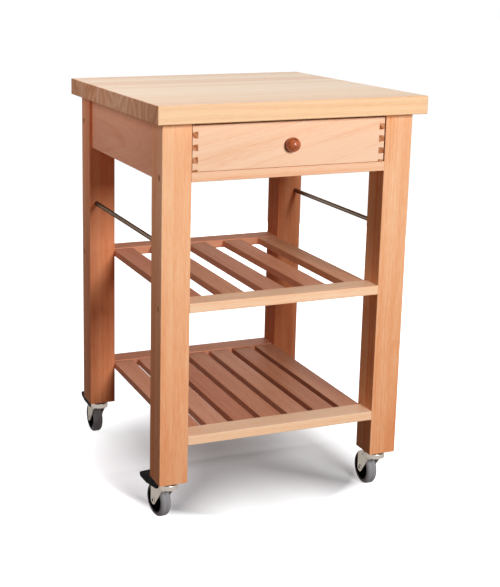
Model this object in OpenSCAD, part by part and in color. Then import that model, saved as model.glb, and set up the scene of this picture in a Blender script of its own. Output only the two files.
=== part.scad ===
// Kitchen cart: a beech frame with a butcher's-block worktop, one dovetailed drawer,
// two slatted shelves, two towel rails and four swivel castors. Millimetres, +Z up.
// The floor is z = 0, and the origin is under the middle of the cart's whole outline.

/* [Worktop] */
// Width of the worktop, left to right
worktop_w = 600; // [480:1:900]
// Depth of the worktop, front to back
worktop_d = 600; // [480:1:800]
// Thickness of the worktop
worktop_t = 38; // [25:1:60]
// Height of the worktop's upper face above the floor
cart_h = 900; // [820:1:1000]
// Overhang of the worktop past the legs at each side
side_overhang = 19; // [5:1:60]
// Overhang of the worktop past the legs at the front
front_overhang = 26; // [5:1:60]
// Overhang of the worktop past the legs at the back
back_overhang = 25; // [5:1:50]
// Easing radius of the worktop's edges
worktop_edge_r = 2; // [0.5:0.5:6]

/* [Frame] */
// Width of a leg, left to right
leg_w = 63; // [46:1:90]
// Depth of a leg, front to back
leg_d = 60; // [46:1:90]
// Easing radius along the frame's edges
edge_r = 1.5; // [0.5:0.5:4]
// Height of the three aprons under the worktop
apron_h = 120; // [100:1:150]
// Thickness of the aprons
apron_t = 20; // [16:1:24]
// Setback of the side aprons from the legs' outer faces
apron_setback = 8; // [2:1:12]
// Length of the side aprons' tenons
apron_tenon = 20; // [10:1:24]
// Thickness of the drawer rail and of the shelf rails
rail_t = 20; // [18:1:30]
// Depth of the drawer rail and of the shelf rails, front to back
rail_d = 50; // [36:1:56]

/* [Shelves] */
// Height of the middle shelf's rails, upper face
mid_shelf_h = 491; // [380:1:560]
// Height of the lower shelf's rails, upper face
low_shelf_h = 203; // [160:1:260]
// Width of a slat
slat_w = 50; // [40:1:60]
// Thickness of a slat
slat_t = 16; // [12:1:16]
// How far the slats lie below the rails' upper faces
slat_drop = 2; // [1:0.5:3]
// Slats in the middle shelf
mid_slats = 5; // [3:1:5]
// Slats in the lower shelf
low_slats = 7; // [5:1:7]
// Length of the tenon on each end of a slat
slat_tenon = 10; // [6:1:14]
// Thickness of the slats' tenons
slat_tenon_t = 8; // [6:0.5:9]
// Shoulder beside the slats' tenons
slat_shoulder = 6; // [3:1:10]

/* [Drawer] */
// Height of the drawer's front and sides
drawer_h = 92.5; // [70:0.5:94]
// Gap between the drawer's sides and the back apron
drawer_back_gap = 43; // [33:1:160]
// Thickness of the drawer's front
drawer_front_t = 18; // [14:1:24]
// Thickness of the drawer's sides and back
drawer_side_t = 12; // [9:1:15]
// Thickness of the drawer's bottom panel
drawer_bottom_t = 4; // [3:0.5:6]
// Gap at the left of the drawer's front
drawer_gap_left = 0.8; // [0.5:0.1:3]
// Gap at the right of the drawer's front
drawer_gap_right = 3.4; // [0.5:0.1:4]
// Gap between the drawer and the rail below it
drawer_gap_below = 0.8; // [0.5:0.1:3]
// Height of a dovetail pin at its middle
pin_h = 12.5; // [8:0.5:13]
// Distance from one dovetail pin to the next
pin_pitch = 25.3; // [20:0.1:28]
// How much a pin widens from the drawer's edge to its inner face
pin_flare = 1.6; // [0.4:0.1:3]
// Diameter of the knob
knob_d = 30; // [20:1:40]
// How far the knob stands out from the drawer's front
knob_l = 25; // [20:1:26]
// Height of the runners' guide faces beside the drawer
runner_h = 28; // [20:1:45]
// Width of the runners' ledges under the drawer's sides
ledge_w = 16; // [12:1:24]

/* [Towel rails] */
// Diameter of a towel rail
towel_d = 10; // [8:0.5:16]
// Height of the towel rails' axes
towel_h = 608; // [540:1:680]
// Distance from the legs' outer faces to the towel rails' axes
towel_inset = 17; // [12:1:24]
// Depth of the towel rails' sockets in the legs
towel_socket = 12; // [8:1:20]

/* [Fasteners] */
// Diameter of the frame bolts
bolt_d = 6; // [5:0.5:8]
// Diameter of the frame bolts' heads
bolt_head_d = 13; // [11:0.5:16]
// Thickness of the frame bolts' heads
bolt_head_t = 3.5; // [2:0.5:6]
// Depth of the counterbores that hold the bolts' heads
counterbore = 4; // [4:0.5:10]
// Distance from the legs' front or back faces to the bolts
bolt_inset = 16; // [14:0.5:22]
// Diameter of the barrel nuts
nut_d = 10; // [9:0.5:12]
// Length of the barrel nuts
nut_l = 14; // [10:0.5:16]
// Distance from a rail's end to its barrel nuts
nut_setback = 22; // [14:1:40]
// Width of the worktop brackets
bracket_w = 16; // [10:1:30]
// Length of each leg of the worktop brackets
bracket_leg = 18; // [12:1:24]
// Sheet thickness of the worktop brackets
bracket_t = 1.5; // [1:0.5:3]

/* [Castors] */
// Height of a castor, from the floor to the leg
castor_h = 100; // [97:0.5:110]
// Diameter of a wheel
wheel_d = 75; // [70:1:76]
// Width of the tyre
tyre_w = 24; // [18:1:26]
// Thickness of the tyre
tyre_t = 8.5; // [5:0.5:12]
// Distance from the swivel's axis back to the axle
trail = 41; // [36:1:44]
// Sheet thickness of the fork
fork_t = 2; // [1.5:0.5:3]
// Diameter of the fork's crown
crown_d = 42; // [38:1:46]
// Height of the fork's crown
crown_h = 9; // [6:0.5:9]
// Diameter of the axle, a tubular rivet
axle_d = 10; // [8:0.5:12]
// Wall of the axle
axle_wall = 1.2; // [0.8:0.1:2]
// Diameter of the stem
stem_d = 10; // [8:0.5:12]
// Length of the stem inside the leg
stem_l = 30; // [20:1:45]
// Width of the brake pedals
pedal_w = 36; // [35:0.5:40]
// How far the brake pedals reach behind the swivel's axis
pedal_reach = 97; // [92:1:105]
// Wall of the brake pedals
pedal_t = 2.6; // [2:0.1:2.8]
// How far the front left brake pedal is pressed at rest, in degrees
front_left_press = 4.5; // [0:0.5:11]
// Turn of the front left castor at rest, in degrees
front_left_turn = 8; // [-20:1:20]
// Turn of the front right castor at rest, in degrees
front_right_turn = -4; // [-20:1:20]
// Turn of the back right castor at rest, in degrees
back_right_turn = 5; // [-20:1:20]

/* [Hidden] */
MID_SLATS = [for (i = [1:mid_slats]) str("mid_slat_", i)];
LOW_SLATS = [for (i = [1:low_slats]) str("low_slat_", i)];
CASTORS = ["front_left", "front_right", "back_left", "back_right"];
CASTOR_PIECES = ["stem", "fork", "axle", "wheel", "tyre"];
$fn = 48;

// Clearances
fit = 0.15;         // wood joint, each side
joint_gap = 0.1;    // dovetails, each side
screw_play = 0.5;   // screw or bolt in its hole, radius
running = 0.05;     // shaft in a bore, radius
seat = 0.3;         // moving face over its seat
pedal_gap = 0.5;    // brake pedal beside the fork
crown_gap = 1.5;    // brake pedal round the crown
tyre_gap = 0.9;     // tyre beside the fork
lap = 0.5;          // how far solids of one piece run into each other
cut = 1;            // how far a cut runs past a face

// Plan of the frame. The back castor's pedal reaches past the worktop.
rear_reach = max(0, pedal_reach - back_overhang - leg_d / 2);
y_front = -(worktop_d + rear_reach) / 2;
y_back = y_front + worktop_d;
x_leg_out = worktop_w / 2 - side_overhang;
x_leg_in = x_leg_out - leg_w;
y_leg_front = y_front + front_overhang;
y_leg_back = y_back - back_overhang;
y_bay_front = y_leg_front + leg_d;
y_bay_back = y_leg_back - leg_d;
y_bolt_front = y_leg_front + bolt_inset;
y_bolt_back = y_leg_back - bolt_inset;
x_apron_out = x_leg_out - apron_setback;
x_apron_in = x_apron_out - apron_t;
x_towel = x_leg_out - towel_inset;
y_apron_back = y_bolt_back - apron_t / 2;

// Heights
z_top = cart_h - worktop_t;
z_apron = z_top - apron_h;
z_rail_bolt = z_apron + rail_t / 2;
z_apron_bolt = z_top - apron_h / 2;
z_drawer = z_apron + rail_t + drawer_gap_below;
z_drawer_top = z_drawer + drawer_h;
tenon_margin = 12;

// Bolts
bolt_past_nut = 2;
bolt_bore = nut_setback + nut_d / 2 + 2 * bolt_past_nut;
bolt_reach = leg_w + nut_setback + nut_d / 2 + bolt_past_nut;
socket_d = 5;
socket_depth = 2.2;
stem_relief = 2;
bracket_share = 0.25;

// Drawer
x_drawer_left = -x_leg_in + drawer_gap_left;
x_drawer_right = x_leg_in - drawer_gap_right;
y_drawer_back = y_apron_back - drawer_back_gap;
groove = 5;
groove_up = 8;
pin_count = 4;
pin_first = 18.8;       // drawer's upper edge to the first pin's middle
drawer_edge_r = 1;
z_panel = z_drawer + groove_up;
panel_setback = 4;      // bottom panel ahead of the sides' ends
back_setback = 6;       // drawer's back ahead of the sides' ends
back_gap_top = 8;
ledge_t = 12;
x_knob = (x_drawer_left + x_drawer_right) / 2;
z_knob = z_drawer + drawer_h / 2;
knob_ball_l = knob_l * 0.8;
knob_neck_r = knob_d / 4;
knob_foot = 0.5;
knob_screw_d = 4;
knob_screw_head_d = 9;
knob_screw_head_t = 2;

// Castor, in its own frame: the swivel's axis is Z, and the wheel trails towards +Y
wheel_r = wheel_d / 2;
rim_r = wheel_r - tyre_t;
rim_t = 3.5;
rim_inset = 2;
rib_count = 6;
rib_t = 2;
rib_inset = 5;
web_t = 4;
hub_wall = 5;
hub_r = axle_d / 2 + hub_wall;
hub_gap = 0.5;
tyre_shoulder = 8;
groove_w = 2;
groove_d = 0.6;
race_h = 7;
race_r = 15;
crown_top = castor_h - race_h;
crown_bottom = crown_top - crown_h;
crown_r = crown_d / 2;
crown_soft = 3;
crown_rim = 2.5;            // how far the crown's rim hangs below its plate
crown_rim_t = 3;
fork_in = tyre_w / 2 + tyre_gap;
fork_out = fork_in + fork_t;
bend_r = 2.5;               // inner radius of the fork's bends
fork_bend = fork_t + bend_r;
fork_eye = 5;               // sheet round the axle
fork_tip_r = axle_d / 2 + fork_eye;
fork_back = trail + fork_tip_r;
fork_flare = 2.6;           // how far each side spreads towards the front
flare_y = 14;               // where the spreading starts
fork_inset = 0.4;           // the sides' front corners inside the crown's rim
fork_front = -sqrt(pow(crown_r - fork_inset, 2) - pow(fork_out + fork_flare, 2));
throat_r = 30;              // hollow front edge of the sides
throat_y = -18;
throat_drop = 5;
graze = 0.02;               // how far a touching line runs inside its circle
fork_shoulder = 24;         // start of the slope behind the crown
fork_corner_r = 4;
fork_corner_drop = 12;
rivet_r = 8;
rivet_t = 2.5;
axle_bore_r = axle_d / 2 - axle_wall;
axle_rim_w = 2.7;
axle_rim_t = 1.5;
axle_rim_soft = 0.6;
pivot_y = 28;
pivot_drop = 9;
pivot_z = crown_bottom - pivot_drop;
pivot_r = 3;
pivot_setback = 0.2;
pedal_front_y = 24.5;
pedal_front_r = 8.5;
pedal_rise = 4;             // pedal's upper face above the fork's
pedal_top = crown_bottom + pedal_rise;
pedal_end_r = 6.5;
pedal_skirt = 17.5;
pedal_taper = 22;
pad_y = 55;
pad_w = 5;
pad_drop = 6.3;

// Colours
beech = "#E3B083";
block_beech = "#E8CBA8";
plywood = "#E2C79B";
knob_red = "#A5522A";
steel = "#B5B3AD";
bronze = "#7A5233";
tyre_grey = "#86868A";
black_plastic = "#1C1C1D";

function castor_x(c) = (c == "front_left" || c == "back_left" ? -1 : 1) * (x_leg_in + leg_w / 2);
function castor_y(c) = c == "front_left" || c == "front_right"
    ? y_leg_front + leg_d / 2 : y_leg_back - leg_d / 2;
function castor_turn(c) = c == "front_left" ? front_left_turn : c == "front_right"
    ? front_right_turn : c == "back_right" ? back_right_turn : 0;
function pedal_press(c) = c == "front_left" ? front_left_press : 0;

// Left edge of slat i of a shelf with that many slats; the outer ones line up with the legs
function slat_x(i, count) = -x_leg_in + (i - 1) * (2 * x_leg_in - slat_w) / (count - 1);

module rounded_rect(w, h, r) {
    translate([r, 0]) square([w - 2 * r, h]);
    translate([0, r]) square([w, h - 2 * r]);
    for (x = [r, w - r]) for (y = [r, h - r]) translate([x, y]) circle(r);
}

// Boards from one corner to the opposite one, eased along their length
module board_x(low, high, r = edge_r) {
    size = high - low;
    translate(low) rotate([90, 0, 90]) linear_extrude(size[0]) rounded_rect(size[1], size[2], r);
}

module board_y(low, high, r = edge_r) {
    size = high - low;
    translate([low[0], high[1], low[2]]) rotate([90, 0, 0])
        linear_extrude(size[1]) rounded_rect(size[0], size[2], r);
}

module board_z(low, high, r = edge_r) {
    size = high - low;
    translate(low) linear_extrude(size[2]) rounded_rect(size[0], size[1], r);
}

module block(low, high) {
    translate(low) cube(high - low);
}

module mirrored(side) {
    if (side < 0) mirror([1, 0, 0]) children(); else children();
}

// Places its children once at each bolt of the right side; end is -1 front, 1 back
module at_side_bolts(end) {
    y = end < 0 ? y_bolt_front : y_bolt_back;
    top = end < 0 ? z_rail_bolt : z_apron_bolt;
    for (z = [top, mid_shelf_h - rail_t / 2, low_shelf_h - rail_t / 2])
        translate([x_leg_out, y, z]) children();
}

// Worktop

module worktop() {
    low = [-worktop_w / 2, y_front, z_top];
    high = [worktop_w / 2, y_back, cart_h];
    color(block_beech) intersection() {
        board_x(low, high, worktop_edge_r);
        board_y(low, high, worktop_edge_r);
        board_z(low, high, worktop_edge_r);
    }
}

// Legs, drawn for the right side and mirrored for the left

module bolt_hole() {
    rotate([0, -90, 0]) {
        translate([0, 0, -cut]) cylinder(d = bolt_d + 2 * screw_play, h = leg_w + 2 * cut);
        translate([0, 0, -cut]) cylinder(d = bolt_head_d + 2 * screw_play, h = counterbore + cut);
    }
}

module leg(side, end) {
    y0 = end < 0 ? y_leg_front : y_bay_back;
    y_inner = end < 0 ? y_bay_front : y_bay_back;
    color(beech) mirrored(side) difference() {
        board_z([x_leg_in, y0, castor_h], [x_leg_out, y0 + leg_d, z_top]);
        at_side_bolts(end) bolt_hole();
        translate([x_leg_in + leg_w / 2, y0 + leg_d / 2, castor_h - cut])
            cylinder(d = stem_d + 2 * fit, h = stem_l + stem_relief + cut);
        translate([x_towel, y_inner - end * cut, towel_h]) rotate([-90 * end, 0, 0])
            cylinder(d = towel_d + 2 * fit, h = towel_socket + cut);
        apron_tenon_shape(end, fit);
    }
}

// Aprons and drawer rail

// The tenon of the right apron at one end, grown by a clearance for its mortise
module apron_tenon_shape(end, grow) {
    y = end < 0 ? y_bay_front : y_bay_back;
    y0 = end < 0 ? y - apron_tenon - grow : y - cut;
    y1 = end < 0 ? y + cut : y + apron_tenon + grow;
    t = apron_t / 2;
    block([x_apron_in + t / 2 - grow, y0, z_apron + tenon_margin - grow],
          [x_apron_out - t / 2 + grow, y1, z_top - tenon_margin + grow]);
}

module side_apron(side) {
    color(beech) mirrored(side) {
        board_y([x_apron_in, y_bay_front, z_apron], [x_apron_out, y_bay_back, z_top]);
        for (end = [-1, 1]) apron_tenon_shape(end, 0);
    }
}

// Bolt hole into the end of a rail, and the hole for its barrel nut
module rail_end_holes(y, z, nut_turn) {
    for (side = [-1, 1]) mirrored(side) {
        translate([x_leg_in - bolt_bore, y, z]) rotate([0, 90, 0])
            cylinder(d = bolt_d + 2 * screw_play, h = bolt_bore + cut);
        translate([x_leg_in - nut_setback, y, z]) rotate(nut_turn)
            translate([0, 0, -nut_l / 2 - fit]) cylinder(d = nut_d + 2 * fit, h = nut_l + rail_d);
    }
}

module back_apron() {
    color(beech) difference() {
        board_x([-x_leg_in, y_apron_back, z_apron], [x_leg_in, y_apron_back + apron_t, z_top]);
        rail_end_holes(y_bolt_back, z_apron_bolt, [90, 0, 0]);
    }
}

// A rail of the frame; its upper face is at z
module frame_rail(end, z) {
    y0 = end < 0 ? y_leg_front : y_leg_back - rail_d;
    y_bolt = end < 0 ? y_bolt_front : y_bolt_back;
    difference() {
        board_x([-x_leg_in, y0, z - rail_t], [x_leg_in, y0 + rail_d, z]);
        rail_end_holes(y_bolt, z - rail_t / 2, [180, 0, 0]);
    }
}

module drawer_rail() {
    color(beech) frame_rail(-1, z_apron + rail_t);
}

// Shelves

module slat_tenon_shape(x, z, end, grow) {
    y = end < 0 ? y_leg_front + rail_d : y_leg_back - rail_d;
    y0 = end < 0 ? y - slat_tenon - grow : y - cut;
    y1 = end < 0 ? y + cut : y + slat_tenon + grow;
    z0 = z - slat_drop - slat_t / 2 - slat_tenon_t / 2;
    block([x + slat_shoulder - grow, y0, z0 - grow],
          [x + slat_w - slat_shoulder + grow, y1, z0 + slat_tenon_t + grow]);
}

module shelf_rail(end, z, count) {
    color(beech) difference() {
        frame_rail(end, z);
        for (i = [1:count]) slat_tenon_shape(slat_x(i, count), z, end, fit);
    }
}

module slat(i, z, count) {
    x = slat_x(i, count);
    y0 = y_leg_front + rail_d;
    y1 = y_leg_back - rail_d;
    color(beech) {
        board_y([x, y0, z - slat_drop - slat_t], [x + slat_w, y1, z - slat_drop]);
        for (end = [-1, 1]) slat_tenon_shape(x, z, end, 0);
    }
}

// Drawer

// Outline of pin k at the left side, flared towards the drawer's middle
module pin_outline(k, grow) {
    z = z_drawer_top - pin_first - k * pin_pitch;
    w = drawer_side_t;
    outer = pin_h / 2 - pin_flare / 2 + grow;
    inner = pin_h / 2 + pin_flare / 2 + grow;
    polygon([[-cut, z - outer], [0, z - outer], [w + grow, z - inner],
             [w + grow, z + inner], [0, z + outer], [-cut, z + outer]]);
}

// All pins of one side, through the drawer's front
module pins(x_edge, side, grow) {
    translate([x_edge, y_leg_front + drawer_front_t, 0]) mirrored(-side) rotate([90, 0, 0])
        for (k = [0:pin_count - 1])
            translate([0, 0, -grow]) linear_extrude(drawer_front_t + grow + (grow > 0 ? cut : 0))
                pin_outline(k, grow);
}

module drawer_front() {
    color(beech) difference() {
        board_x([x_drawer_left, y_leg_front, z_drawer],
                [x_drawer_right, y_leg_front + drawer_front_t, z_drawer_top], drawer_edge_r);
        pins(x_drawer_left, -1, joint_gap);
        pins(x_drawer_right, 1, joint_gap);
        drawer_panel(fit);
        translate([x_knob, y_leg_front - cut, z_knob]) rotate([-90, 0, 0])
            cylinder(d = knob_screw_d + 2 * screw_play, h = drawer_front_t + 2 * cut);
    }
}

module drawer_side(side) {
    x_edge = side < 0 ? x_drawer_left : x_drawer_right;
    x0 = side < 0 ? x_edge : x_edge - drawer_side_t;
    low = [x0, y_leg_front, z_drawer];
    high = [x0 + drawer_side_t, y_drawer_back, z_drawer_top];
    color(beech) difference() {
        union() {
            board_y([x0, y_leg_front + drawer_front_t, z_drawer], high, drawer_edge_r);
            intersection() {
                block(low, high);
                pins(x_edge, side, 0);
            }
        }
        drawer_panel(fit);
    }
}

module drawer_back() {
    color(beech) board_x(
        [x_drawer_left + drawer_side_t, y_drawer_back - drawer_side_t - back_setback,
         z_panel + drawer_bottom_t + fit],
        [x_drawer_right - drawer_side_t, y_drawer_back - back_setback, z_drawer_top - back_gap_top],
        drawer_edge_r);
}

// Bottom panel; grown by a clearance it is the groove, which runs out at the sides' ends
module drawer_panel(grow) {
    y_end = grow > 0 ? y_drawer_back + cut : y_drawer_back - panel_setback;
    block([x_drawer_left + drawer_side_t - groove - grow,
           y_leg_front + drawer_front_t - groove - grow, z_panel - grow],
          [x_drawer_right - drawer_side_t + groove + grow, y_end, z_panel + drawer_bottom_t + grow]);
}

module drawer_bottom() {
    color(plywood) drawer_panel(0);
}

// Turned knob: a flattened ball on a short flared neck, with its screw's shank
module drawer_knob() {
    r = knob_d / 2;
    neck_l = knob_l - knob_ball_l;
    cove_r = neck_l / 2;
    color(knob_red) translate([x_knob, y_leg_front, z_knob]) rotate([90, 0, 0]) {
        rotate_extrude() {
            intersection() {
                translate([0, knob_l - r]) circle(r, $fn = 96);
                translate([0, neck_l]) square([r, knob_ball_l]);
            }
            difference() {
                square([knob_neck_r + cove_r, neck_l + knob_foot]);
                translate([knob_neck_r + cove_r, cove_r + knob_foot]) circle(cove_r, $fn = 32);
            }
        }
        translate([0, 0, -drawer_front_t - lap])
            cylinder(d = knob_screw_d, h = drawer_front_t + lap + cut);
        translate([0, 0, -drawer_front_t - knob_screw_head_t])
            cylinder(d = knob_screw_head_d, h = knob_screw_head_t);
    }
}

// L-shaped runner: a guide face in line with the legs and a ledge under the drawer's side
module drawer_runner(side) {
    z_ledge = z_drawer - seat;
    color(beech) mirrored(side) translate([0, y_bay_back, 0]) rotate([90, 0, 0])
        linear_extrude(y_bay_back - y_bay_front) polygon([
            [x_apron_in, z_ledge - ledge_t], [x_leg_in - ledge_w, z_ledge - ledge_t],
            [x_leg_in - ledge_w, z_ledge], [x_leg_in, z_ledge],
            [x_leg_in, z_ledge + runner_h], [x_apron_in, z_ledge + runner_h]]);
}

// Towel rails

module towel_rail(side) {
    color(steel) mirrored(side) translate([x_towel, y_bay_front - towel_socket + fit, towel_h])
        rotate([-90, 0, 0])
            cylinder(d = towel_d, h = y_bay_back - y_bay_front + 2 * towel_socket - 2 * fit);
}

// Fasteners

// Socket-head furniture bolt along -X from the leg's outer face
module frame_bolt() {
    head_out = counterbore - bolt_head_t;
    rotate([0, -90, 0]) difference() {
        union() {
            translate([0, 0, head_out]) cylinder(d = bolt_head_d, h = bolt_head_t);
            translate([0, 0, counterbore - lap])
                cylinder(d = bolt_d, h = bolt_reach - counterbore + lap);
        }
        translate([0, 0, head_out - cut]) cylinder(d = socket_d, h = socket_depth + cut, $fn = 6);
    }
}

module frame_bolts() {
    color(bronze) for (side = [-1, 1]) mirrored(side)
        for (end = [-1, 1]) at_side_bolts(end) frame_bolt();
}

module barrel_nut(turn) {
    translate([-leg_w - nut_setback, 0, 0]) difference() {
        rotate(turn) cylinder(d = nut_d, h = nut_l, center = true);
        rotate([0, 90, 0]) cylinder(d = bolt_d + 2 * running, h = nut_d + 2 * cut, center = true);
    }
}

module barrel_nuts() {
    color(steel) for (side = [-1, 1]) mirrored(side) {
        at_side_bolts(-1) barrel_nut([0, 0, 0]);
        translate([x_leg_out, y_bolt_back, z_apron_bolt]) barrel_nut([90, 0, 0]);
        for (z = [mid_shelf_h, low_shelf_h])
            translate([x_leg_out, y_bolt_back, z - rail_t / 2]) barrel_nut([0, 0, 0]);
    }
}

// Angle bracket in the corner of an apron's inner face and the worktop; it points to -X
module bracket() {
    rotate([90, 0, 0]) linear_extrude(bracket_w, center = true)
        polygon([[0, 0], [-bracket_leg, 0], [-bracket_leg, -bracket_t],
                 [-bracket_t, -bracket_t], [-bracket_t, -bracket_leg], [0, -bracket_leg]]);
}

module worktop_brackets() {
    bay = y_bay_back - y_bay_front;
    color(steel) {
        for (side = [-1, 1]) for (share = [bracket_share, 1 - bracket_share])
            mirrored(side) translate([x_apron_in, y_bay_front + share * bay, z_top]) bracket();
        for (side = [-1, 1])
            translate([side * x_leg_in / 2, y_apron_back, z_top]) rotate([0, 0, 90]) bracket();
    }
}

// Castors

// Side outline of the fork: it sweeps back from the crown to the axle. Its front edge is
// the line that touches the throat's circle and, on its other side, the tip's circle.
module fork_outline() {
    tip = [trail, wheel_r];
    throat = [throat_y, crown_bottom - throat_drop - throat_r];
    between = tip - throat;
    reach = throat_r + fork_tip_r - 2 * graze;
    slope = atan2(between[1], between[0]) + acos(reach / norm(between));
    upper = throat + (throat_r - graze) * [cos(slope), sin(slope)];
    lower = tip - (fork_tip_r - graze) * [cos(slope), sin(slope)];
    y_corner = fork_back - fork_corner_r;
    z_corner = crown_bottom - fork_corner_drop;
    difference() {
        union() {
            polygon([[fork_front, crown_bottom], [fork_front, upper[1]], upper, lower, tip,
                     [fork_back, wheel_r], [fork_back, z_corner],
                     [y_corner, z_corner + fork_corner_r], [fork_shoulder, crown_bottom]]);
            translate(tip) circle(fork_tip_r);
            translate([y_corner, z_corner]) circle(fork_corner_r);
        }
        translate(throat) circle(throat_r);
    }
}

// The sheet bent over the wheel, as seen along the cart
module fork_section() {
    difference() {
        translate([-fork_out, 0]) rounded_rect(2 * fork_out, crown_bottom, fork_bend);
        translate([-fork_in, -fork_t]) rounded_rect(2 * fork_in, crown_bottom, fork_bend - fork_t);
    }
}

// Plan of the sheet in front: its two sides spread towards the crown's rim
module fork_side_plan() {
    polygon([[fork_in, flare_y + lap], [fork_in, flare_y], [fork_in + fork_flare, fork_front],
             [fork_out + fork_flare, fork_front], [fork_out, flare_y], [fork_out, flare_y + lap]]);
}

module fork_plate_plan() {
    polygon([[-fork_out - fork_flare, fork_front], [fork_out + fork_flare, fork_front],
             [fork_out, flare_y], [-fork_out, flare_y]]);
}

module fork_sheet() {
    translate([0, fork_back + cut, 0]) rotate([90, 0, 0])
        linear_extrude(fork_back + cut - flare_y) fork_section();
    linear_extrude(crown_bottom) for (side = [-1, 1]) mirrored(side) fork_side_plan();
    translate([0, 0, crown_bottom - fork_t]) linear_extrude(fork_t) fork_plate_plan();
}

module crown() {
    rotate_extrude($fn = 72) translate([0, crown_bottom]) {
        translate([crown_r - crown_rim_t, -crown_rim]) square([crown_rim_t, crown_rim + lap]);
        square([crown_r - crown_soft, crown_h]);
        square([crown_r, crown_h - crown_soft]);
        intersection() {
            translate([crown_r - crown_soft, crown_h - crown_soft]) circle(crown_soft);
            square([crown_r, crown_h]);
        }
    }
}

module castor_fork() {
    color(steel) difference() {
        union() {
            intersection() {
                rotate([90, 0, 90])
                    linear_extrude(2 * (fork_out + fork_flare + cut), center = true) fork_outline();
                fork_sheet();
            }
            crown();
        }
        translate([0, 0, crown_bottom - fork_t - cut])
            cylinder(d = stem_d + 2 * running, h = castor_h);
        translate([0, trail, wheel_r]) rotate([0, 90, 0])
            cylinder(d = axle_d + 2 * fit, h = 4 * fork_out, center = true);
        translate([0, pivot_y, pivot_z]) rotate([0, 90, 0])
            cylinder(r = pivot_r, h = 4 * fork_out, center = true);
    }
}

// Kingpin riveted under the crown, upper race, and the stem inside the leg
module castor_stem() {
    z_rivet = crown_bottom - fork_t - seat;
    color(steel) {
        translate([0, 0, z_rivet - rivet_t]) cylinder(r = rivet_r, h = rivet_t);
        translate([0, 0, z_rivet - lap]) cylinder(d = stem_d, h = castor_h + stem_l - z_rivet + lap);
        translate([0, 0, crown_top + seat]) cylinder(r = race_r, h = castor_h - crown_top - seat);
    }
}

// Tubular rivet, rolled over outside the fork at both ends
module castor_axle() {
    color(steel) translate([0, trail, wheel_r]) rotate([0, 90, 0]) rotate_extrude() {
        translate([axle_bore_r, -fork_out - axle_rim_t / 2])
            square([axle_wall, 2 * fork_out + axle_rim_t]);
        for (z = [-fork_out - axle_rim_t, fork_out])
            translate([axle_bore_r, z]) rounded_rect(axle_rim_w, axle_rim_t, axle_rim_soft);
    }
}

// Ribbed plastic centre of the wheel
module castor_wheel() {
    hub_half = fork_in - hub_gap;
    rim_in = rim_r - rim_t;
    color(black_plastic) translate([0, trail, wheel_r]) rotate([0, 90, 0]) {
        rotate_extrude($fn = 96) {
            translate([axle_d / 2 + running, -hub_half])
                square([hub_r - axle_d / 2 - running, 2 * hub_half]);
            translate([hub_r - lap, -web_t / 2]) square([rim_in - hub_r + 2 * lap, web_t]);
            translate([rim_in, rim_inset - tyre_w / 2]) square([rim_t, tyre_w - 2 * rim_inset]);
        }
        for (i = [0:rib_count - 1]) rotate([0, 0, i * 360 / rib_count])
            translate([hub_r - lap, -rib_t / 2, rib_inset - tyre_w / 2])
                cube([rim_in - hub_r + 2 * lap, rib_t, tyre_w - 2 * rib_inset]);
    }
}

module castor_tyre() {
    color(tyre_grey) translate([0, trail, wheel_r]) rotate([0, 90, 0]) rotate_extrude($fn = 96)
        difference() {
            translate([rim_r - 2 * tyre_shoulder, -tyre_w / 2])
                rounded_rect(tyre_t + 2 * tyre_shoulder, tyre_w, tyre_shoulder);
            translate([0, -tyre_w]) square([rim_r, 2 * tyre_w]);
            translate([wheel_r - groove_d, -groove_w / 2]) square([groove_d + cut, groove_w]);
        }
}

module pedal_outline() {
    front = [pedal_front_y, pedal_top - pedal_front_r];
    end = [pedal_reach - pedal_end_r, pedal_top - pedal_end_r];
    polygon([[front[0], pedal_top], [end[0], pedal_top], [end[0], end[1] - pedal_end_r + lap],
             [end[0] - pedal_taper, pedal_top - pedal_skirt],
             [front[0], pedal_top - 2 * pedal_front_r]]);
    translate(front) circle(pedal_front_r);
    translate(end) circle(pedal_end_r);
}

// Moulded brake pedal: a hood over the wheel on two trunnions in the fork, with a brake pad.
// press is how far it is turned down, in degrees.
module brake_pedal(press) {
    skirt_in = fork_out + pedal_gap;
    z_under = pedal_top - pedal_t;
    color(black_plastic) difference() {
        translate([0, pivot_y, pivot_z]) rotate([-press, 0, 0]) translate([0, -pivot_y, -pivot_z]) {
            difference() {
                rotate([90, 0, 90]) linear_extrude(pedal_w, center = true) pedal_outline();
                translate([-skirt_in, 0, 0])
                    cube([2 * skirt_in, pedal_reach - pedal_end_r - pedal_t, z_under]);
            }
            translate([-skirt_in, pad_y - pad_w / 2, z_under - pad_drop])
                cube([2 * skirt_in, pad_w, pad_drop]);
            for (side = [-1, 1]) mirrored(side)
                translate([fork_in + pivot_setback, pivot_y, pivot_z]) rotate([0, 90, 0])
                    cylinder(r = pivot_r - running, h = skirt_in - fork_in);
        }
        cylinder(r = crown_r + crown_gap, h = castor_h);
    }
}

module at_castor(c) {
    translate([castor_x(c), castor_y(c), 0]) rotate([0, 0, castor_turn(c)]) children();
}

worktop();
leg(-1, -1);  // leg_front_left
leg(1, -1);  // leg_front_right
leg(-1, 1);  // leg_back_left
leg(1, 1);  // leg_back_right
side_apron(-1);  // apron_left
side_apron(1);  // apron_right
back_apron();  // apron_back
drawer_rail();
drawer_front();
drawer_side(-1);  // drawer_side_left
drawer_side(1);  // drawer_side_right
drawer_back();
drawer_bottom();
drawer_knob();
drawer_runner(-1);  // drawer_runner_left
drawer_runner(1);  // drawer_runner_right
towel_rail(-1);  // towel_rail_left
towel_rail(1);  // towel_rail_right
shelf_rail(-1, mid_shelf_h, mid_slats);  // mid_rail_front
shelf_rail(1, mid_shelf_h, mid_slats);  // mid_rail_back
shelf_rail(-1, low_shelf_h, low_slats);  // low_rail_front
shelf_rail(1, low_shelf_h, low_slats);  // low_rail_back
for (i = [1:mid_slats]) slat(i, mid_shelf_h, mid_slats);
for (i = [1:low_slats]) slat(i, low_shelf_h, low_slats);
frame_bolts();
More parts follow.
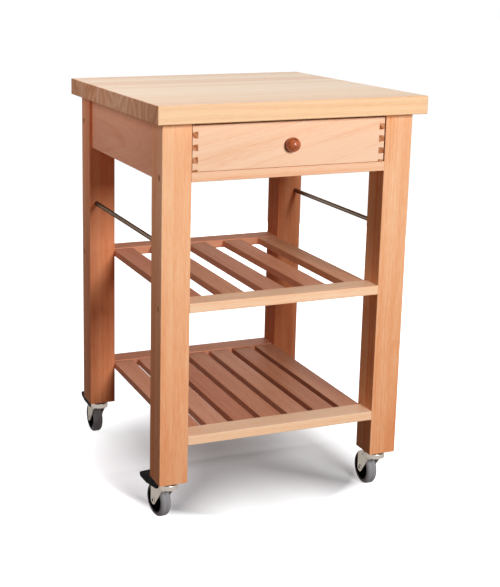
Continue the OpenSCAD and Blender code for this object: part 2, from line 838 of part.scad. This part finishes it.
barrel_nuts();
worktop_brackets();
for (c = CASTORS) {
    at_castor(c) castor_stem();
    at_castor(c) castor_fork();
    at_castor(c) castor_axle();
    at_castor(c) castor_wheel();
    at_castor(c) castor_tyre();
}
at_castor("front_left") brake_pedal(pedal_press("front_left"));  // brake_pedal_front_left
at_castor("back_left") brake_pedal(pedal_press("back_left"));  // brake_pedal_back_left
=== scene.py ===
import math

import bpy
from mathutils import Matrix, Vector


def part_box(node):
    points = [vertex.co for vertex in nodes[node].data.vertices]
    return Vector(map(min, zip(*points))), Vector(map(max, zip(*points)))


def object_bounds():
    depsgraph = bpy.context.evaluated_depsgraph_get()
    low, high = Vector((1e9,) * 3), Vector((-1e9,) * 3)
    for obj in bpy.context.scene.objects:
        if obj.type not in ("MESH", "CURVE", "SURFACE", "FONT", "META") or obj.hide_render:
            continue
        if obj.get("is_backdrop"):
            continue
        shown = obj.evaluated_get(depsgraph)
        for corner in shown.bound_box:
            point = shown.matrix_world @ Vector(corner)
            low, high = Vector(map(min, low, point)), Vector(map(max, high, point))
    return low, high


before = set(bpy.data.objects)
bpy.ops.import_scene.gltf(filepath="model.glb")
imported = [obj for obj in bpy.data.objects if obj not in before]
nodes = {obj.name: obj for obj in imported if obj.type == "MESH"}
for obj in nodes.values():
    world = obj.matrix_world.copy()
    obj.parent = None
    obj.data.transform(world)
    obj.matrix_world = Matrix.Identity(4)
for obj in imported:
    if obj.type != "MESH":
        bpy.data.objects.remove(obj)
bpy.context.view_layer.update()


# Worktop: a butcher's block of beech staves 40 mm wide, glued side by side along the
# cart's width, planed flat, eased at the edges and oiled. Each stave is a board of its
# own, so its tint, its rings and its end grain differ from its neighbours'.

def linear(code):
    """The linear colour of an sRGB hex code."""
    parts = [int(code[i:i + 2], 16) / 255 for i in (1, 3, 5)]
    return [c / 12.92 if c <= 0.04045 else ((c + 0.055) / 1.055) ** 2.4 for c in parts] + [1]


def add_node(tree, kind, inputs=None, **settings):
    """Adds a node with its settings; in inputs a socket is linked and a value is set."""
    node = tree.nodes.new(kind)
    for name, value in settings.items():
        setattr(node, name, value)
    for socket, value in (inputs or {}).items():
        if isinstance(value, bpy.types.NodeSocket):
            tree.links.new(value, node.inputs[socket])
        else:
            node.inputs[socket].default_value = value
    return node


def new_material(name):
    """An empty node material with its output: (material, tree, output)."""
    material = bpy.data.materials.new(name)
    material.use_nodes = True
    tree = material.node_tree
    tree.nodes.clear()
    return material, tree, tree.nodes.new("ShaderNodeOutputMaterial")


def dress(names, material):
    """Gives CAD nodes one material."""
    for name in names:
        mesh = nodes[name].data
        mesh.materials.clear()
        mesh.materials.append(material)


def wood_surface(tree, output, point, axis, tones, ring_mm, figure, tint=None,
                 end_tone="#B58F7A", roughness=0.6, specular=0.08):
    """Sawn and oiled wood round a log axis along X, Y or Z, on the log coordinates in point:
    faces with a fine grain and a low sheen, and darker, dull ends. tones are its palest,
    middle and darkest colours, and tint, from 0 to 1, is where on them the board lies.
    figure is how far the growth rings' late edges, their bands, the fibres and broad patches
    move the colour along them."""
    along = {"X": 0, "Y": 1, "Z": 2}[axis]
    grain_squeeze = 0.09      # grain runs some eleven times longer than it is wide
    squeeze = [1.0, 1.0, 1.0]
    squeeze[along] = grain_squeeze
    grain = add_node(tree, "ShaderNodeVectorMath", {0: point, 1: squeeze},
                     operation="MULTIPLY").outputs[0]

    # the trunk isn't quite round: its rings bend by up to 22 mm, once in some 91 mm
    bend_mm, bend = 90.91, (0.022, 0.022, 0.022)
    wander = add_node(tree, "ShaderNodeTexNoise", {
        "Vector": grain, "Scale": 1000 / bend_mm,
        "Detail": 3.0, "Roughness": 0.45}).outputs["Color"]
    bent = add_node(tree, "ShaderNodeVectorMath", {0: wander, 1: bend, 2: point},
                    operation="MULTIPLY_ADD").outputs[0]
    squeeze[along] = 0.0
    across = add_node(tree, "ShaderNodeVectorMath", {0: bent, 1: squeeze},
                      operation="MULTIPLY").outputs[0]
    radius = add_node(tree, "ShaderNodeVectorMath", {0: across},
                      operation="LENGTH").outputs["Value"]

    # growth rings are wide and narrow in bands of years, and each ends in a thin late edge
    bands_per_ring, uneven_rings, late_sharpness = 0.7, 1.6, 4.0
    count = add_node(tree, "ShaderNodeMath", {0: radius, 1: 1000 / ring_mm},
                     operation="MULTIPLY").outputs[0]
    bands = add_node(tree, "ShaderNodeTexNoise", {
        "W": count, "Scale": bands_per_ring, "Detail": 3.0, "Roughness": 0.6},
        noise_dimensions="1D").outputs["Fac"]
    count = add_node(tree, "ShaderNodeMath", {0: bands, 1: uneven_rings, 2: count},
                     operation="MULTIPLY_ADD").outputs[0]
    part = add_node(tree, "ShaderNodeMath", {0: count}, operation="FRACT").outputs[0]
    late = add_node(tree, "ShaderNodeMath", {0: part, 1: late_sharpness},
                    operation="POWER").outputs[0]

    # real fibres, some 0.02 mm wide, are too fine to show, so they are drawn as wide streaks
    fibre_mm, patch_mm = 2.3256, 26.32
    fibres = add_node(tree, "ShaderNodeTexNoise", {
        "Vector": grain, "Scale": 1000 / fibre_mm, "Detail": 3.0, "Roughness": 0.65}).outputs["Fac"]
    patches = add_node(tree, "ShaderNodeTexNoise", {
        "Vector": grain, "Scale": 1000 / patch_mm, "Detail": 3.0, "Roughness": 0.55}).outputs["Fac"]

    # each pattern counts from its mean, so the board keeps its tint
    patterns, means = (late, bands, fibres, patches), (0.2, 0.5, 0.5, 0.5)
    level = tint if tint is not None else 0.5
    for pattern, mean, strength in zip(patterns, means, figure):
        centred = add_node(tree, "ShaderNodeMath", {0: pattern, 1: mean},
                           operation="SUBTRACT").outputs[0]
        level = add_node(tree, "ShaderNodeMath", {0: centred, 1: strength, 2: level},
                         operation="MULTIPLY_ADD").outputs[0]
    ramp = add_node(tree, "ShaderNodeValToRGB", {"Fac": level})
    ramp.color_ramp.elements[0].color = linear(tones[0])
    ramp.color_ramp.elements[1].color = linear(tones[2])
    ramp.color_ramp.elements.new(0.5).color = linear(tones[1])

    # sawn ends drink more oil, so they are darker than the faces, some rings more than others
    normal = add_node(tree, "ShaderNodeNewGeometry").outputs["Normal"]
    facing = add_node(tree, "ShaderNodeSeparateXYZ", {0: normal}).outputs[along]
    square = add_node(tree, "ShaderNodeMath", {0: facing, 1: 2.0}, operation="POWER").outputs[0]
    thirst = add_node(tree, "ShaderNodeMapRange", {
        "Value": bands, "From Min": 0.32, "From Max": 0.68,
        "To Min": 0.50, "To Max": 1.0}).outputs[0]
    at_end = add_node(tree, "ShaderNodeMapRange", {
        "Value": square, "From Min": 0.4, "From Max": 0.6, "To Max": thirst}).outputs[0]
    colour = add_node(tree, "ShaderNodeMix", {
        0: at_end, 6: ramp.outputs["Color"], 7: linear(end_tone)},
        data_type="RGBA", blend_type="MULTIPLY").outputs[2]
    end_roughness = 0.95
    dull = add_node(tree, "ShaderNodeMapRange", {
        "Value": at_end, "To Min": roughness, "To Max": end_roughness}).outputs[0]
    bump = add_node(tree, "ShaderNodeBump", {
        "Strength": 0.12, "Distance": 0.0003, "Height": fibres}).outputs[0]
    shader = add_node(tree, "ShaderNodeBsdfPrincipled", {
        "Base Color": colour, "Roughness": dull, "IOR": 1.47, "Specular IOR Level": specular,
        "Normal": bump}).outputs[0]
    tree.links.new(shader, output.inputs["Surface"])


def block_beech():
    """Oiled butcher's block, pale with a satin sheen: every stave takes its own tint and its
    own place in the log."""
    material, tree, output = new_material("oiled_beech_block")
    stave, edge_shift = 0.040, 0.025        # so shifted, the front stave is a whole one
    slab_middle = (0, 0, 0.881)
    log_spread = (1.8, 0.26, 0.10)          # how far apart the staves grew, in metres
    palest_tint, darkest_tint = 0.15, 0.85
    tones = ("#F7D8B4", "#F4CA9C", "#E4AF7F")
    place = add_node(tree, "ShaderNodeTexCoord").outputs["Object"]
    y = add_node(tree, "ShaderNodeSeparateXYZ", {0: place}).outputs[1]
    count = add_node(tree, "ShaderNodeMath", {0: y, 1: stave}, operation="DIVIDE").outputs[0]
    count = add_node(tree, "ShaderNodeMath", {0: count, 1: edge_shift}, operation="ADD").outputs[0]
    index = add_node(tree, "ShaderNodeMath", {0: count}, operation="FLOOR").outputs[0]
    middle = add_node(tree, "ShaderNodeCombineXYZ", {1: index}).outputs[0]
    middle = add_node(tree, "ShaderNodeVectorMath", {0: middle, 1: (0, stave, 0), 2: slab_middle},
                      operation="MULTIPLY_ADD").outputs[0]
    local = add_node(tree, "ShaderNodeVectorMath", {0: place, 1: middle},
                     operation="SUBTRACT").outputs[0]
    chance = add_node(tree, "ShaderNodeTexWhiteNoise", {"W": index}, noise_dimensions="1D")
    centred = add_node(tree, "ShaderNodeVectorMath", {
        0: chance.outputs["Color"], 1: (0.5, 0.5, 0.5)}, operation="SUBTRACT").outputs[0]
    point = add_node(tree, "ShaderNodeVectorMath", {0: centred, 1: log_spread, 2: local},
                     operation="MULTIPLY_ADD").outputs[0]
    tint = add_node(tree, "ShaderNodeMapRange", {
        "Value": chance.outputs["Value"], "To Min": palest_tint, "To Max": darkest_tint}).outputs[0]
    wood_surface(tree, output, point, "X", tones, ring_mm=9.0,
                 figure=(0.26, 0.60, 0.60, 0.30), tint=tint, end_tone="#C6A691",
                 roughness=0.34, specular=0.6)
    return material


dress(["worktop"], block_beech())


# Legs: square posts, each glued from a front and a back layer, planed, eased and oiled.
# The glue line shows on their left and right faces, where the two layers' tints differ; on
# the front right leg the much paler back layer is also painted light on its inner face.

def beech(name, axis, tones, log, ring_mm=5.0, figure=(0.18, 0.60, 0.80, 0.80), split=None,
          layers=None, drift=None, lean=(0, 0, 0), **finish):
    """Oiled solid beech, warm and nearly matt. log is where the board lay in the log, in
    metres, and lean how far it was sawn askew. split is the place of a glue line across Y,
    and layers the tints of the wood before and behind it, which rise by drift down to the
    floor."""
    material, tree, output = new_material(name)
    place = add_node(tree, "ShaderNodeTexCoord").outputs["Object"]
    point = add_node(tree, "ShaderNodeMapping", {
        "Vector": place, "Location": log, "Rotation": lean}).outputs[0]
    tint = None
    if split is not None:
        other_board = (0.05, 0.11, 0.7)     # how far off in the log the back layer grew
        drift_bottom, drift_top = 0.1, 0.7
        _, y, z = add_node(tree, "ShaderNodeSeparateXYZ", {0: place}).outputs
        layer = add_node(tree, "ShaderNodeMath", {0: y, 1: split},
                         operation="GREATER_THAN").outputs[0]
        point = add_node(tree, "ShaderNodeVectorMath", {0: layer, 1: other_board, 2: point},
                         operation="MULTIPLY_ADD").outputs[0]
        layer_tint = add_node(tree, "ShaderNodeMapRange", {
            "Value": layer, "To Min": layers[0], "To Max": layers[1]}).outputs[0]
        low_tint = add_node(tree, "ShaderNodeMapRange", {
            "Value": z, "From Min": drift_bottom, "From Max": drift_top,
            "To Min": drift, "To Max": 0.0}).outputs[0]
        tint = add_node(tree, "ShaderNodeMath", {0: layer_tint, 1: low_tint},
                        operation="ADD").outputs[0]
    wood_surface(tree, output, point, axis, tones, ring_mm, figure, tint, **finish)
    return material


# painted light and shade: the front left leg's tones are paler than the front right's, to even out
# the key's fall-off towards the left, and the back legs take darker, redder tones as painted shade
# for their place deep inside the cart
front_left_lit_tones = ("#FDD1A6", "#F8B98A", "#EC9865")
front_right_tones = ("#FACCA3", "#F1AC7B", "#E38B59")
back_leg_shaded_tones = ("#EFAB80", "#E69568", "#D67A4E")
for name, log, tones, layers, drift in (
        ("leg_front_left", (0.22, 0.31, 0.2), front_left_lit_tones, (0.40, 0.56), 0.36),
        ("leg_front_right", (-0.28, 0.34, 1.4), front_right_tones, (0.40, 0.06), 0.14),
        ("leg_back_left", (0.21, -0.16, 2.3), back_leg_shaded_tones, (0.44, 0.05), 0.2),
        ("leg_back_right", (-0.27, -0.17, 3.1), back_leg_shaded_tones, (0.44, 0.60), 0.3)):
    low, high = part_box(name)
    dress([name], beech("beech_" + name, "Z", tones, log, split=(low.y + high.y) / 2,
                        layers=layers, drift=drift))


# Aprons: planed boards on edge under the worktop. The side ones are tenoned into the legs
# and the back one is bolted between them.

apron_tones = ("#FAC8A2", "#F4B48E", "#E39A75")
apron_lean = (math.radians(4), 0, math.radians(5))
for name, axis, log in (
        ("apron_left", "Y", (0.32, 0.5, -0.80)),
        ("apron_right", "Y", (-0.31, 1.6, -0.79)),
        ("apron_back", "X", (0.2, -0.17, -0.81))):
    dress([name], beech("beech_" + name, axis, apron_tones, log, ring_mm=9.0,
                        figure=(0.26, 0.45, 0.60, 0.70), lean=apron_lean))


# Rails: the bar under the drawer and the front and back bars of the two shelves, planed
# and eased, bolted between the legs.

drawer_rail_tones = ("#FBD7B9", "#F6C59F", "#E8A97F")
shelf_rail_tones = ("#FFE3C6", "#FED2AA", "#F4B98C")
back_rail_tones = ("#E8AE8C", "#DC9876", "#C87F5C")
planed_sheen, dull_sheen = 0.22, 0.08
for name, log, tones, sheen in (
        ("drawer_rail", (0.1, 0.36, -0.70), drawer_rail_tones, planed_sheen),
        ("mid_rail_front", (0.7, 0.35, -0.43), shelf_rail_tones, planed_sheen),
        ("mid_rail_back", (1.9, -0.12, -0.42), back_rail_tones, dull_sheen),
        ("low_rail_front", (2.6, 0.37, -0.14), shelf_rail_tones, planed_sheen),
        ("low_rail_back", (3.3, -0.13, -0.13), back_rail_tones, dull_sheen)):
    dress([name], beech("beech_" + name, "X", tones, log, specular=sheen))


# Slats: thin planed boards, tenoned into the rails of the two shelves. They come from
# different boards, so no two neighbours have quite the same tint. The middle shelf's slats
# also grow paler towards the right: painted light, where the lamps leave that side in shade.

# painted light: besides each board's own tint, these grow paler from the left slat to the right one
mid_slat_tones_lit_right = (
    ("#D99F7D", "#CE8969", "#B67052"),
    ("#E2B18D", "#D79B77", "#C0805D"),
    ("#E8B798", "#DEA283", "#CA8867"),
    ("#F6BF97", "#E9A47F", "#CE8763"),
    ("#FFCFA5", "#F3B58B", "#D9956C"))
low_board_tones = ("#E0AC8A", "#D59472", "#BF7856")
low_pale_board_tones = ("#E6B594", "#DC9F7E", "#C78160")
low_dark_board_tones = ("#D8A17E", "#CB8867", "#B46D4D")
low_slat_tones = (
    low_board_tones, low_pale_board_tones, low_dark_board_tones,
    low_board_tones, low_pale_board_tones, low_dark_board_tones, low_board_tones)
for shelf, slat_tones in (("mid", mid_slat_tones_lit_right), ("low", low_slat_tones)):
    for i, tones in enumerate(slat_tones, start=1):
        name = f"{shelf}_slat_{i}"
        low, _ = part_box(name)
        # sawn beside the log's heart, at one of three heights above it, each further along
        beside, along, above = 0.06, 0.9 * i, 0.05 + 0.02 * (i % 3)
        log = (beside - low.x, along, above - low.z)
        dress([name], beech("beech_" + name, "Y", tones, log))


# Drawer: a pale flat-sawn front, joined to its sides by dovetails that run right through,
# so the sides' end grain shows as dark pins. Sides and back are plain beech boards, the
# bottom is a sheet of birch plywood, and the sides slide on beech runners.

drawer_front_tones = ("#FADABF", "#F8CFAE", "#EEB088")
dress(["drawer_front"], beech(
    "beech_drawer_front", "X", drawer_front_tones, log=(0.35, 0.41, -0.73), ring_mm=8.0,
    figure=(0.22, 0.42, 0.70, 0.60), lean=(0, math.radians(10), math.radians(-2))))
drawer_side_tones = ("#F3C8A0", "#EAB78C", "#D6976D")
for name, log in (
        ("drawer_side_left", (0.28, 0.4, -0.75)),
        ("drawer_side_right", (-0.16, 1.7, -0.77))):
    dress([name], beech("beech_" + name, "Y", drawer_side_tones, log,
                        figure=(0.2, 0.9, 0.3, 2.2), end_tone="#B98463"))
dress(["drawer_back"], beech("beech_drawer_back", "X", drawer_side_tones,
                             log=(0.9, -0.1, -0.76)))
plywood_tones = ("#F1DDBA", "#E6CDA5", "#D2B387")
dress(["drawer_bottom"], beech("birch_plywood", "X", plywood_tones, log=(0.5, 0.2, -0.75),
                               ring_mm=18.0, figure=(0.35, 0.25, 0.3, 0.3)))
for name, log in (
        ("drawer_runner_left", (0.29, 2.4, -0.70)),
        ("drawer_runner_right", (-0.15, 3.2, -0.71))):
    dress([name], beech("beech_" + name, "Y", drawer_side_tones, log))


# Towel rails: drawn stainless rods, pushed into blind sockets in the legs. Drawing leaves
# fine lines along the rod, so its highlights are long and soft.

def metal(name, colour, roughness, mottle_mm=4.0, drawn_along=None):
    """Bare or plated metal whose sheen varies in patches of mottle_mm, so highlights are
    soft. drawn_along is the axis on which drawing has pulled the patches out to lines."""
    duller, shinier, line_squeeze = 0.09, 0.07, 0.03
    material, tree, output = new_material(name)
    place = add_node(tree, "ShaderNodeTexCoord").outputs["Object"]
    squeeze = [1.0, 1.0, 1.0]
    if drawn_along:
        squeeze["XYZ".index(drawn_along)] = line_squeeze
    point = add_node(tree, "ShaderNodeVectorMath", {0: place, 1: squeeze},
                     operation="MULTIPLY").outputs[0]
    mottle = add_node(tree, "ShaderNodeTexNoise", {
        "Vector": point, "Scale": 1000 / mottle_mm, "Detail": 2.0}).outputs["Fac"]
    sheen = add_node(tree, "ShaderNodeMapRange", {
        "Value": mottle, "From Min": 0.3, "From Max": 0.7,
        "To Min": roughness - shinier, "To Max": roughness + duller}).outputs[0]
    bump = add_node(tree, "ShaderNodeBump", {
        "Strength": 0.08, "Distance": 0.0001, "Height": mottle}).outputs[0]
    shader = add_node(tree, "ShaderNodeBsdfPrincipled", {
        "Base Color": linear(colour), "Specular Tint": linear(colour), "Metallic": 1.0,
        "Roughness": sheen, "Normal": bump}).outputs[0]
    tree.links.new(shader, output.inputs["Surface"])
    return material


stainless = metal("drawn_stainless_steel", "#8C7F75", roughness=0.26, mottle_mm=1.0,
                  drawn_along="Y")
dress(["towel_rail_left", "towel_rail_right"], stainless)


# Fasteners: bronzed socket-head bolts in counterbores on the legs' outer faces, zinc-plated
# barrel nuts in the rails, and zinc-plated brackets that hold the worktop from below. Bronzing
# looks brown and half dull, plating silvery with a clear sheen.

bronzed = metal("bronzed_steel", "#A27B64", roughness=0.50)
zinc = metal("zinc_plated_steel", "#C6C0B7", roughness=0.34)
dress(["frame_bolts"], bronzed)
dress(["barrel_nuts", "worktop_brackets"], zinc)


# Castors: pressed and zinc-plated forks, crowns and kingpins, dull black nylon wheel centres
# with ribs, and matt grey rubber tyres. The two on the left have black nylon brake pedals.

def moulded(name, colour, roughness, grain_mm, depth_mm, specular):
    """Plastic or rubber with the fine grain of its mould, which spreads its highlights, and
    a sheen that wear has made uneven."""
    worn_mm, worn_swing = 11.11, 0.06
    material, tree, output = new_material(name)
    place = add_node(tree, "ShaderNodeTexCoord").outputs["Object"]
    grain = add_node(tree, "ShaderNodeTexNoise", {
        "Vector": place, "Scale": 1000 / grain_mm, "Detail": 2.0}).outputs["Fac"]
    worn = add_node(tree, "ShaderNodeTexNoise", {
        "Vector": place, "Scale": 1000 / worn_mm, "Detail": 2.0}).outputs["Fac"]
    sheen = add_node(tree, "ShaderNodeMapRange", {
        "Value": worn, "From Min": 0.3, "From Max": 0.7,
        "To Min": roughness - worn_swing, "To Max": roughness + worn_swing}).outputs[0]
    bump = add_node(tree, "ShaderNodeBump", {
        "Strength": 0.2, "Distance": depth_mm / 1000, "Height": grain}).outputs[0]
    shader = add_node(tree, "ShaderNodeBsdfPrincipled", {
        "Base Color": linear(colour), "Roughness": sheen, "IOR": 1.46,
        "Specular IOR Level": specular, "Normal": bump}).outputs[0]
    tree.links.new(shader, output.inputs["Surface"])
    return material


black_nylon = moulded("moulded_black_nylon", "#070708", roughness=0.50, grain_mm=0.6,
                      depth_mm=0.1, specular=0.03)
grey_rubber = moulded("moulded_grey_rubber", "#99999C", roughness=0.62, grain_mm=0.8,
                      depth_mm=0.1, specular=0.3)
for corner in ("front_left", "front_right", "back_left", "back_right"):
    dress([f"castor_{corner}_{piece}" for piece in ("stem", "fork", "axle")], zinc)
    dress([f"castor_{corner}_wheel"], black_nylon)
    dress([f"castor_{corner}_tyre"], grey_rubber)
dress(["brake_pedal_front_left", "brake_pedal_back_left"], black_nylon)


# Knob: turned from beech on a short waisted neck, stained red-brown and lacquered to a
# high gloss, held by a screw from inside the drawer.

def lacquered_knob():
    """Stained beech under clear lacquer: a soft grain below a mirror-like coat."""
    material, tree, output = new_material("lacquered_stained_beech")
    streak_mm, along_grain = 6.25, (1, 0.15, 1)
    place = add_node(tree, "ShaderNodeTexCoord").outputs["Object"]
    point = add_node(tree, "ShaderNodeVectorMath", {0: place, 1: along_grain},
                     operation="MULTIPLY").outputs[0]
    grain = add_node(tree, "ShaderNodeTexNoise", {
        "Vector": point, "Scale": 1000 / streak_mm, "Detail": 3.0}).outputs["Fac"]
    ramp = add_node(tree, "ShaderNodeValToRGB", {"Fac": grain})
    for end, position, stain in zip(ramp.color_ramp.elements, (0.3, 0.7), ("#8C3D17", "#C4652B")):
        end.position, end.color = position, linear(stain)
    shader = add_node(tree, "ShaderNodeBsdfPrincipled", {
        "Base Color": ramp.outputs["Color"], "Roughness": 0.4, "IOR": 1.5,
        "Specular IOR Level": 0.2, "Coat Weight": 0.6, "Coat Roughness": 0.20}).outputs[0]
    tree.links.new(shader, output.inputs["Surface"])
    return material


dress(["drawer_knob"], lacquered_knob())


# Studio: a white floor that runs back out of sight, a soft key light at the front, a little
# to the right and above, a cool weak one overhead, a small one near the left and a low one
# at the back right, in a pale surround. The floor glows white but for a painted shadow under
# the cart.

def white_floor():
    """White floor paint. To the camera it glows, less so under the cart, where the dimmed glow is
    a painted shadow over the real one, and in reflections it glows evenly. The light it throws
    up at the cart is that of a darker, warm paint."""
    material, tree, output = new_material("white_studio_floor")
    rays = add_node(tree, "ShaderNodeLightPath").outputs
    paint = add_node(tree, "ShaderNodeMix", {
        0: rays["Is Camera Ray"], 6: linear("#796152"), 7: linear("#E2E5E7")},
        data_type="RGBA").outputs[2]
    lit = add_node(tree, "ShaderNodeBsdfDiffuse", {"Color": paint}).outputs[0]

    # painted shadow: round the cart's middle the glow starts low and is full 360 mm out; the
    # areas here are squares of distances, in square metres
    shadow_middle, faintest, full_area = (0, 0.02, 0), 0.07, 0.14
    place = add_node(tree, "ShaderNodeTexCoord").outputs["Object"]
    x, y, _ = add_node(tree, "ShaderNodeSeparateXYZ", {0: place}).outputs
    reach = add_node(tree, "ShaderNodeVectorMath", {0: place, 1: shadow_middle},
                     operation="DISTANCE").outputs["Value"]
    spread = add_node(tree, "ShaderNodeMath", {0: reach, 1: reach}, operation="MULTIPLY").outputs[0]
    all_round = add_node(tree, "ShaderNodeMath", {0: spread, 1: 1 / full_area, 2: faintest},
                         operation="MULTIPLY_ADD").outputs[0]

    # painted shadow: two dark arms, the castors' shade, reach out to the front castors; the floor
    # glows at their sides, between them, past their ends at 316 mm and, ever more, behind the
    # middle
    side_area, front_area, arm_depth = 0.13, 0.09, 0.02
    arm_end_area, end_area, behind = 0.10, 0.03, 6.0
    front = add_node(tree, "ShaderNodeMath", {0: y, 1: 0.0}, operation="MINIMUM").outputs[0]
    back = add_node(tree, "ShaderNodeMath", {0: y, 1: 0.0}, operation="MAXIMUM").outputs[0]
    across = add_node(tree, "ShaderNodeMath", {0: x, 1: x}, operation="MULTIPLY").outputs[0]
    forward = add_node(tree, "ShaderNodeMath", {0: front, 1: front},
                       operation="MULTIPLY").outputs[0]
    off_line = add_node(tree, "ShaderNodeMath", {0: across, 1: forward},
                        operation="SUBTRACT").outputs[0]
    at_side = add_node(tree, "ShaderNodeMath", {0: off_line, 1: 1 / side_area},
                       operation="MULTIPLY").outputs[0]
    in_front = add_node(tree, "ShaderNodeMath", {0: off_line, 1: -1 / front_area},
                        operation="MULTIPLY").outputs[0]
    between = add_node(tree, "ShaderNodeMath", {0: at_side, 1: in_front},
                       operation="MAXIMUM").outputs[0]
    between = add_node(tree, "ShaderNodeMath", {0: between, 1: arm_depth},
                       operation="SUBTRACT").outputs[0]
    past_end = add_node(tree, "ShaderNodeMath", {
        0: spread, 1: 1 / end_area, 2: -arm_end_area / end_area},
        operation="MULTIPLY_ADD").outputs[0]
    past_end = add_node(tree, "ShaderNodeMath", {0: past_end, 1: 0.0},
                        operation="MAXIMUM").outputs[0]
    off_arms = add_node(tree, "ShaderNodeMath", {0: between, 1: past_end},
                        operation="ADD").outputs[0]
    off_arms = add_node(tree, "ShaderNodeMath", {0: back, 1: behind, 2: off_arms},
                        operation="MULTIPLY_ADD").outputs[0]

    soft_join, mirrored_glow = 0.1, 0.8
    strength = add_node(tree, "ShaderNodeMath", {0: all_round, 1: off_arms, 2: soft_join},
                        operation="SMOOTH_MIN", use_clamp=True).outputs[0]
    strength = add_node(tree, "ShaderNodeMix", {
        0: rays["Is Camera Ray"], 2: mirrored_glow, 3: strength}).outputs[0]
    glow = add_node(tree, "ShaderNodeEmission", {
        "Color": linear("#FFFFFF"), "Strength": strength}).outputs[0]
    seen = add_node(tree, "ShaderNodeMath", {0: rays["Is Camera Ray"], 1: rays["Is Glossy Ray"]},
                    operation="MAXIMUM").outputs[0]
    share = add_node(tree, "ShaderNodeMixShader", {0: seen, 2: glow}).outputs[0]
    both = add_node(tree, "ShaderNodeAddShader", {0: share, 1: lit}).outputs[0]
    tree.links.new(both, output.inputs["Surface"])
    return material


bpy.ops.object.select_all(action="DESELECT")
bpy.ops.mesh.primitive_plane_add(size=40, location=(0, 0, 0))
floor = bpy.context.object
floor.name = "studio_floor"
floor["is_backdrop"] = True
floor.data.materials.append(white_floor())

# the surround is white to the camera and in reflections, and a faint warm fill elsewhere
world = bpy.data.worlds.new("pale_surround")
bpy.context.scene.world = world
world.use_nodes = True
tree = world.node_tree
tree.nodes.clear()
rays = add_node(tree, "ShaderNodeLightPath").outputs
seen = add_node(tree, "ShaderNodeMath", {0: rays["Is Camera Ray"], 1: rays["Is Glossy Ray"]},
                operation="MAXIMUM").outputs[0]
seen = add_node(tree, "ShaderNodeMath", {0: seen, 1: rays["Is Transmission Ray"]},
                operation="MAXIMUM").outputs[0]
soft = add_node(tree, "ShaderNodeBackground", {
    "Color": linear("#FFE7DD"), "Strength": 0.05}).outputs[0]
white = add_node(tree, "ShaderNodeBackground", {
    "Color": linear("#FFFFFF"), "Strength": 1.0}).outputs[0]
share = add_node(tree, "ShaderNodeMixShader", {0: seen, 1: soft, 2: white}).outputs[0]
add_node(tree, "ShaderNodeOutputWorld", {"Surface": share})


def soft_light(name, place, target, size, watts, colour=(1.0, 1.0, 1.0)):
    """A square soft box at place that faces target."""
    lamp = bpy.data.lights.new(name, "AREA")
    lamp.shape, lamp.size, lamp.energy, lamp.color = "SQUARE", size, watts, colour
    light = bpy.data.objects.new(name, lamp)
    bpy.context.scene.collection.objects.link(light)
    light.location = place
    light.rotation_euler = (Vector(target) - Vector(place)).to_track_quat("-Z", "Y").to_euler()


soft_light("key_front", place=(0.30, -2.93, 1.60), target=(0, -0.2, 0.45), size=0.78, watts=75)
soft_light("top", place=(0, 0, 2.5), target=(0, 0, 0), size=1.6, watts=17,
           colour=(0.94, 1.02, 1.13))
soft_light("fill_left", place=(-0.90, 0.05, 1.15), target=(-0.2, 0, 0.7), size=0.5, watts=2.4,
           colour=(1.0, 0.88, 0.94))
soft_light("fill_back", place=(1.4, 2.3, 0.46), target=(0.1, 0.1, 0.46), size=0.7, watts=15,
           colour=(1.0, 0.92, 0.88))


# Camera: the photograph's viewpoint, found by fitting its corners and edges. The picture is
# a crop of a wider one, so the lens is shifted.

camera = bpy.data.objects.new("camera", bpy.data.cameras.new("camera"))
bpy.context.scene.collection.objects.link(camera)
bpy.context.scene.camera = camera
camera.data.sensor_fit, camera.data.sensor_width = "HORIZONTAL", 36
camera.data.lens = 82.11
camera.data.shift_x, camera.data.shift_y = 0.2358, -0.1479
camera.location = (-1.0567, -2.3600, 1.1558)
camera.rotation_euler = [math.radians(angle) for angle in (77.605, -0.146, -19.039)]
bpy.context.scene.view_settings.view_transform = "Standard"

low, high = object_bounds()
